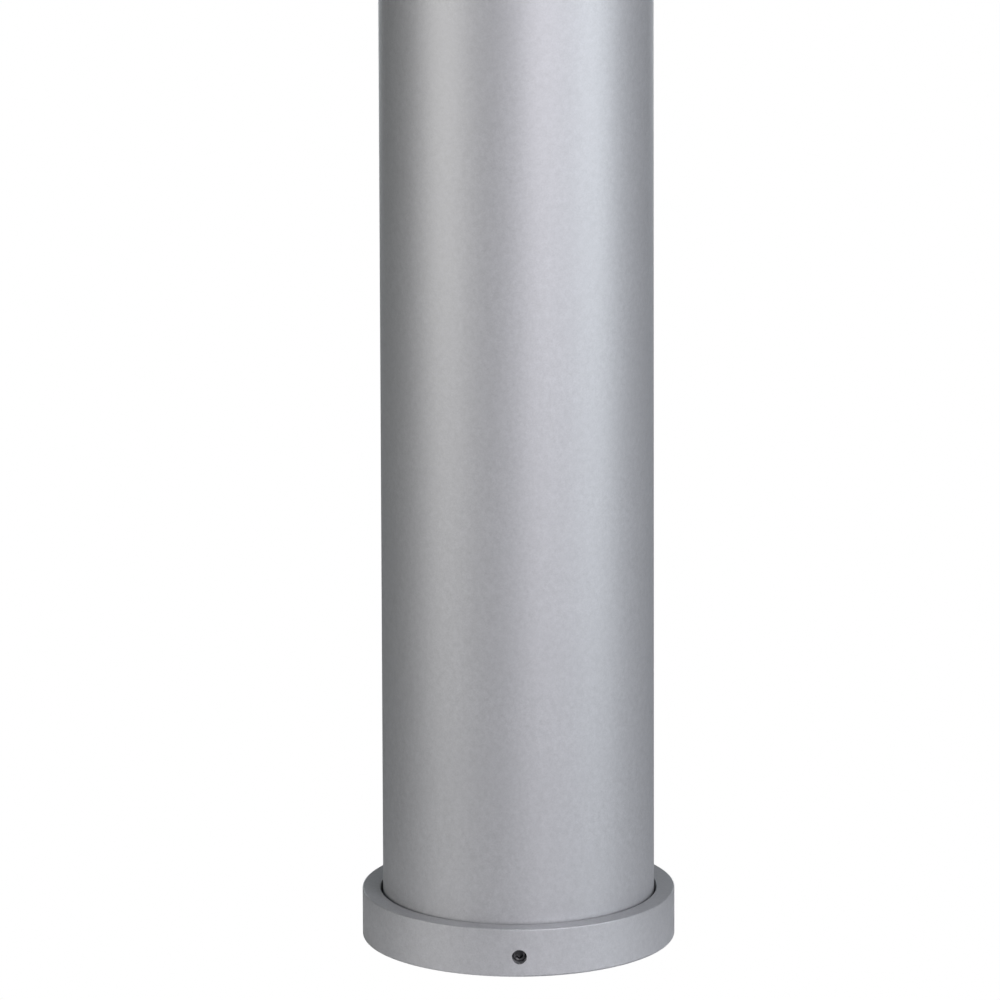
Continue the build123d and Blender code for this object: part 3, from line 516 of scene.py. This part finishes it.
# Places of the screws and nuts, in millimetres, and angles in degrees from +X.
FRONT_ANGLES = (-90, 30, 150)
LUG_ANGLES = (-30, 90, 210)
SCREW_PCD_R = 41
TIE_SEAT_Z = 789
CARRIER_SEAT_Z = 646
BRACKET_UNDERSIDE_Z = 638
FOOT_UNDERSIDE_Z = 610
BAR_TOP_Z = 614
LID_SCREW_X = 20
LID_SCREW_Z = (385, 455)
LID_Y = -18
BOX_BACK_Y = 12
BOX_FIXING_Z = (395, 445)
BASE_EARTH = (36, 11, (150,))
TRAY_EARTH = (17, 14, 584)


def hexagon(across_flats, turn=0.0):
    """A hexagon's radius at an angle."""
    sixth = math.pi / 3
    return lambda a: across_flats / 2 / math.cos((a + turn) % sixth - sixth / 2)


def knurled(radius, depth=0.14):
    """A radius with fine straight knurls, one to every second side."""
    return lambda a: radius - depth * (round(a * SIDES / (2 * math.pi)) % 2)


def cut_to(shape, limit):
    """The smaller of a shape's radius and a limit."""
    return lambda a: min(shape(a), limit)


def ridge(share):
    """A sharp thread's height, from 0 at its root to 1 at its crest, across one pitch."""
    return min(1.0, 2.4 * (0.5 - abs(share % 1.0 - 0.5)))


def wave(share):
    """A rolled thread's height across one pitch."""
    return 0.5 - 0.5 * math.cos(2 * math.pi * share)


def thread(bottom, top, major, minor, pitch, form, per_pitch=6, fade=0.6):
    """The rings of a helical thread, which fades into its core at both ends."""

    def radius_at(z):
        full = min(1.0, (z - bottom) / fade, (top - z) / fade)
        return lambda a: minor + (major - minor) * full * form(z / pitch - a / (2 * math.pi))

    count = max(2, round((top - bottom) / pitch * per_pitch))
    heights = [bottom + (top - bottom) * i / count for i in range(count + 1)]
    return [(z, radius_at(z)) for z in heights]


def stack(rings, hollow=False):
    """The points and faces of a stack of rings, closed at its ends, or with its last ring joined to its first."""
    points = []
    for z, radius in rings:
        for i in range(SIDES):
            a = 2 * math.pi * i / SIDES
            r = radius(a) if callable(radius) else radius
            points.append(Vector((r * math.cos(a), r * math.sin(a), z)))
    faces = []
    for row in range(len(rings) - (0 if hollow else 1)):
        first, second = row * SIDES, (row + 1) % len(rings) * SIDES
        for i in range(SIDES):
            j = (i + 1) % SIDES
            faces.append((first + i, first + j, second + j, second + i))
    if not hollow:
        last = (len(rings) - 1) * SIDES
        for row, height in ((0, rings[0][0]), (last, rings[-1][0])):
            hub = len(points)
            points.append(Vector((0, 0, height)))
            for i in range(SIDES):
                j = (i + 1) % SIDES
                faces.append((row + j, row + i, hub) if row == 0 else (row + i, row + j, hub))
    return points, faces


def socket_head(radius, height, hexagon_af):
    """The rings of a knurled head above z = 0, and of the hexagon socket in it."""
    floor = height * 0.45
    return [
        (0.0, radius - 0.15),
        (0.15, knurled(radius)),
        (height - 0.4, knurled(radius)),
        (height - 0.12, radius - 0.12),
        (height, radius - 0.45),
        (height, hexagon_af / 2 * 1.2),
        (height - 0.15, hexagon(hexagon_af)),
        (floor + 0.25, hexagon(hexagon_af)),
        (floor, hexagon_af / 2 * 0.86),
        (floor, 0.2),
    ]


def cap_screw(size, length, threaded):
    """A socket-head screw that points down, with the underside of its head at z = 0."""
    radius, pitch, head_r, head_h, hexagon_af = size
    core = radius - 0.6 * pitch
    rings = [(-length, core - 0.25)]
    rings += thread(-length + 0.15, threaded - length, radius, core, pitch, ridge)
    if threaded < length:
        rings += [(threaded - length + 0.3, radius)]
    return stack(rings + [(-0.02, radius)] + socket_head(head_r, head_h, hexagon_af))


def m4(length):
    """A fully threaded M4 socket-head screw."""
    return cap_screw(M4, length, length - M4_THREAD_STOP)


def set_screw():
    """A headless M6 screw from its cup point at z = 0 to its hexagon socket."""
    length, core, af, floor = SET_LENGTH, SET_CORE_R, SET_HEX, SET_HEX_FLOOR
    rings = [(0.6, 0.2), (0.0, 1.4), (0.0, 1.8)]
    rings += thread(0.4, length - 0.1, SET_R, core, SET_PITCH, ridge, per_pitch=10, fade=0.4)
    rings += [(length, core - 0.1), (length, af / 2 * 1.2), (length - 0.12, hexagon(af))]
    return stack(rings + [(floor + 0.2, hexagon(af)), (floor, af / 2 * 0.86), (floor, 0.2)])


def washer(hole_r, radius, thickness):
    """A flat washer on z = 0, with its edges broken."""
    b = 0.12
    rings = [(0, hole_r), (0, radius - b), (b, radius), (thickness - b, radius), (thickness, radius - b)]
    return stack(rings + [(thickness, hole_r)], hollow=True)


def nut(across_flats, hole_r, height):
    """A hexagonal nut on z = 0: chamfered corners and a threaded bore."""
    six = hexagon(across_flats)
    inscribed = across_flats / 2
    rings = [(0, inscribed * 0.97), (0.35, cut_to(six, inscribed * 1.1)), (0.6, six)]
    rings += [(height - 0.6, six), (height - 0.35, cut_to(six, inscribed * 1.1)), (height, inscribed * 0.97)]
    bore = thread(0.0, height, hole_r, hole_r + 0.3, 0.7, ridge, fade=0.3)
    return stack(rings + bore[::-1], hollow=True)


def place(x, y, z, turn=(0, 0, 0)):
    """A shift in millimetres after turns about X, Y and Z in degrees."""
    turns = Matrix.Identity(4)
    for angle, axis in zip(turn, "XYZ"):
        turns = Matrix.Rotation(math.radians(angle), 4, axis) @ turns
    return Matrix.Translation((x, y, z)) @ turns


def on_circle(radius, z, angles):
    """Places at a radius and a height, at angles from +X."""
    return [place(radius * math.cos(math.radians(a)), radius * math.sin(math.radians(a)), z) for a in angles]


def add_piece(name, shapes, body, slot, material, *stands_for):
    """One object of several (stack, place) shapes, which rides on a body and stands for its CAD nodes."""
    points, faces = [], []
    for (shape_points, shape_faces), where in shapes:
        start = len(points)
        points += [(where @ point) * MM for point in shape_points]
        faces += [tuple(start + i for i in face) for face in shape_faces]
    mesh = bpy.data.meshes.new(name)
    mesh.from_pydata(points, [], faces)
    mesh.validate()
    mesh.shade_smooth()
    mesh.set_sharp_from_angle(angle=math.radians(SHARP_DEGREES))
    mesh.materials.append(material)
    piece = bpy.data.objects.new(name, mesh)
    scene.collection.objects.link(piece)
    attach(piece, body)
    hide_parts(*stands_for)


def every(shape, places):
    """The same shape at each place."""
    return [(shape, where) for where in places]


def pairs(half, y, z, turn):
    """Two mirrored places."""
    return [place(x, y, z, turn) for x in (-half, half)]


def lamp_thread(bottom, major, minor):
    """The rolled lamp thread from a height up to the top of its turns."""
    return thread(bottom, LAMP_THREAD_TOP, major, minor, LAMP_PITCH, wave, LAMP_STEPS, LAMP_FADE)


def add_threaded_pieces(made):
    """Every screw, nut and lamp thread, in the place of its CAD node."""
    up, forward = (180, 0, 0), (90, 0, 0)

    def add(name, shapes, body, slot):
        add_piece(name + "_detail", shapes, body, slot, made[slot], name)

    for side, angle in zip(("front", "right", "left"), FRONT_ANGLES):
        tip = Matrix.Rotation(math.radians(angle), 4, "Z") @ place(SET_TIP_R, 0, SET_Z, (0, 90, 0))
        add(f"set_screw_{side}", [(set_screw(), tip)], f"{side}_set_screw", "dark_steel")

    seat = on_circle(*BASE_EARTH)[0]
    base_earth = [(washer(2.5, 4.9, 1), seat), (cap_screw(M5, 6, 5.4), seat @ place(0, 0, 1))]
    add("base_earth_screw", base_earth, "base", "stainless")

    ties = on_circle(SCREW_PCD_R, TIE_SEAT_Z, FRONT_ANGLES)
    add("tie_screws", every(cap_screw(M5, 150, 24), ties), "head", "stainless")
    carrier = on_circle(SCREW_PCD_R, CARRIER_SEAT_Z, LUG_ANGLES)
    add("carrier_screws", every(cap_screw(M5, 32, 20), carrier), "gear", "stainless")

    add("bracket_screws", every(m4(6), pairs(40, 0, BRACKET_UNDERSIDE_Z, up)), "gear", "zinc_screws")
    add("lampholder_screws", every(m4(12), pairs(12, 0, FOOT_UNDERSIDE_Z, up)), "gear", "zinc_screws")
    add("tray_bolts", every(m4(8), pairs(25, 0, FOOT_UNDERSIDE_Z, up)), "gear", "zinc_screws")
    add("tray_nuts", every(nut(7, 1.98, 3.2), pairs(25, 0, BAR_TOP_Z, (0, 0, 0))), "gear", "zinc_screws")

    corners = [spot for z in LID_SCREW_Z for spot in pairs(LID_SCREW_X, LID_Y, z, forward)]
    add("box_lid_screws", every(cap_screw(LID_SCREW, 12, 11), corners), "box_cover", "stainless")
    fixings = [place(0, BOX_BACK_Y, z, forward) for z in BOX_FIXING_Z]
    add("box_fixing_screws", every(m4(6), fixings), "gear", "zinc_screws")

    x, y, z = TRAY_EARTH
    tray_earth = [(washer(2.0, 4.0, 2), place(x, y, z, forward)), (m4(6), place(x, y - 3, z, forward))]
    add("tray_earth_screw", tray_earth, "gear", "brass")

    cap = [(646, 11.9)] + lamp_thread(646.3, 13.2, 12.2) + [(LAMP_CAP_TOP, 12.5)]
    add("lamp_cap", [(stack(cap), place(0, 0, 0))], "lamp", "nickel_cap")

    inside = [(640.1, 9), (640.1, 13.9)] + lamp_thread(641, 14.0, 14.45) + [(LAMP_CAP_TOP, 14.1)]
    outside = [(LAMP_CAP_TOP, 14.6), (639.5, 14.6), (639.5, 9)]
    shell = stack((inside + outside)[::-1], hollow=True)
    add("lampholder_shell", [(shell, place(0, 0, 0))], "gear", "brass")


# ---- The scene ----

add_camera()
add_world()
add_floor()
add_lights()
finishes = make_finishes()
dress_nodes(finishes)
add_threaded_pieces(finishes)
scene.view_settings.view_transform = "Standard"
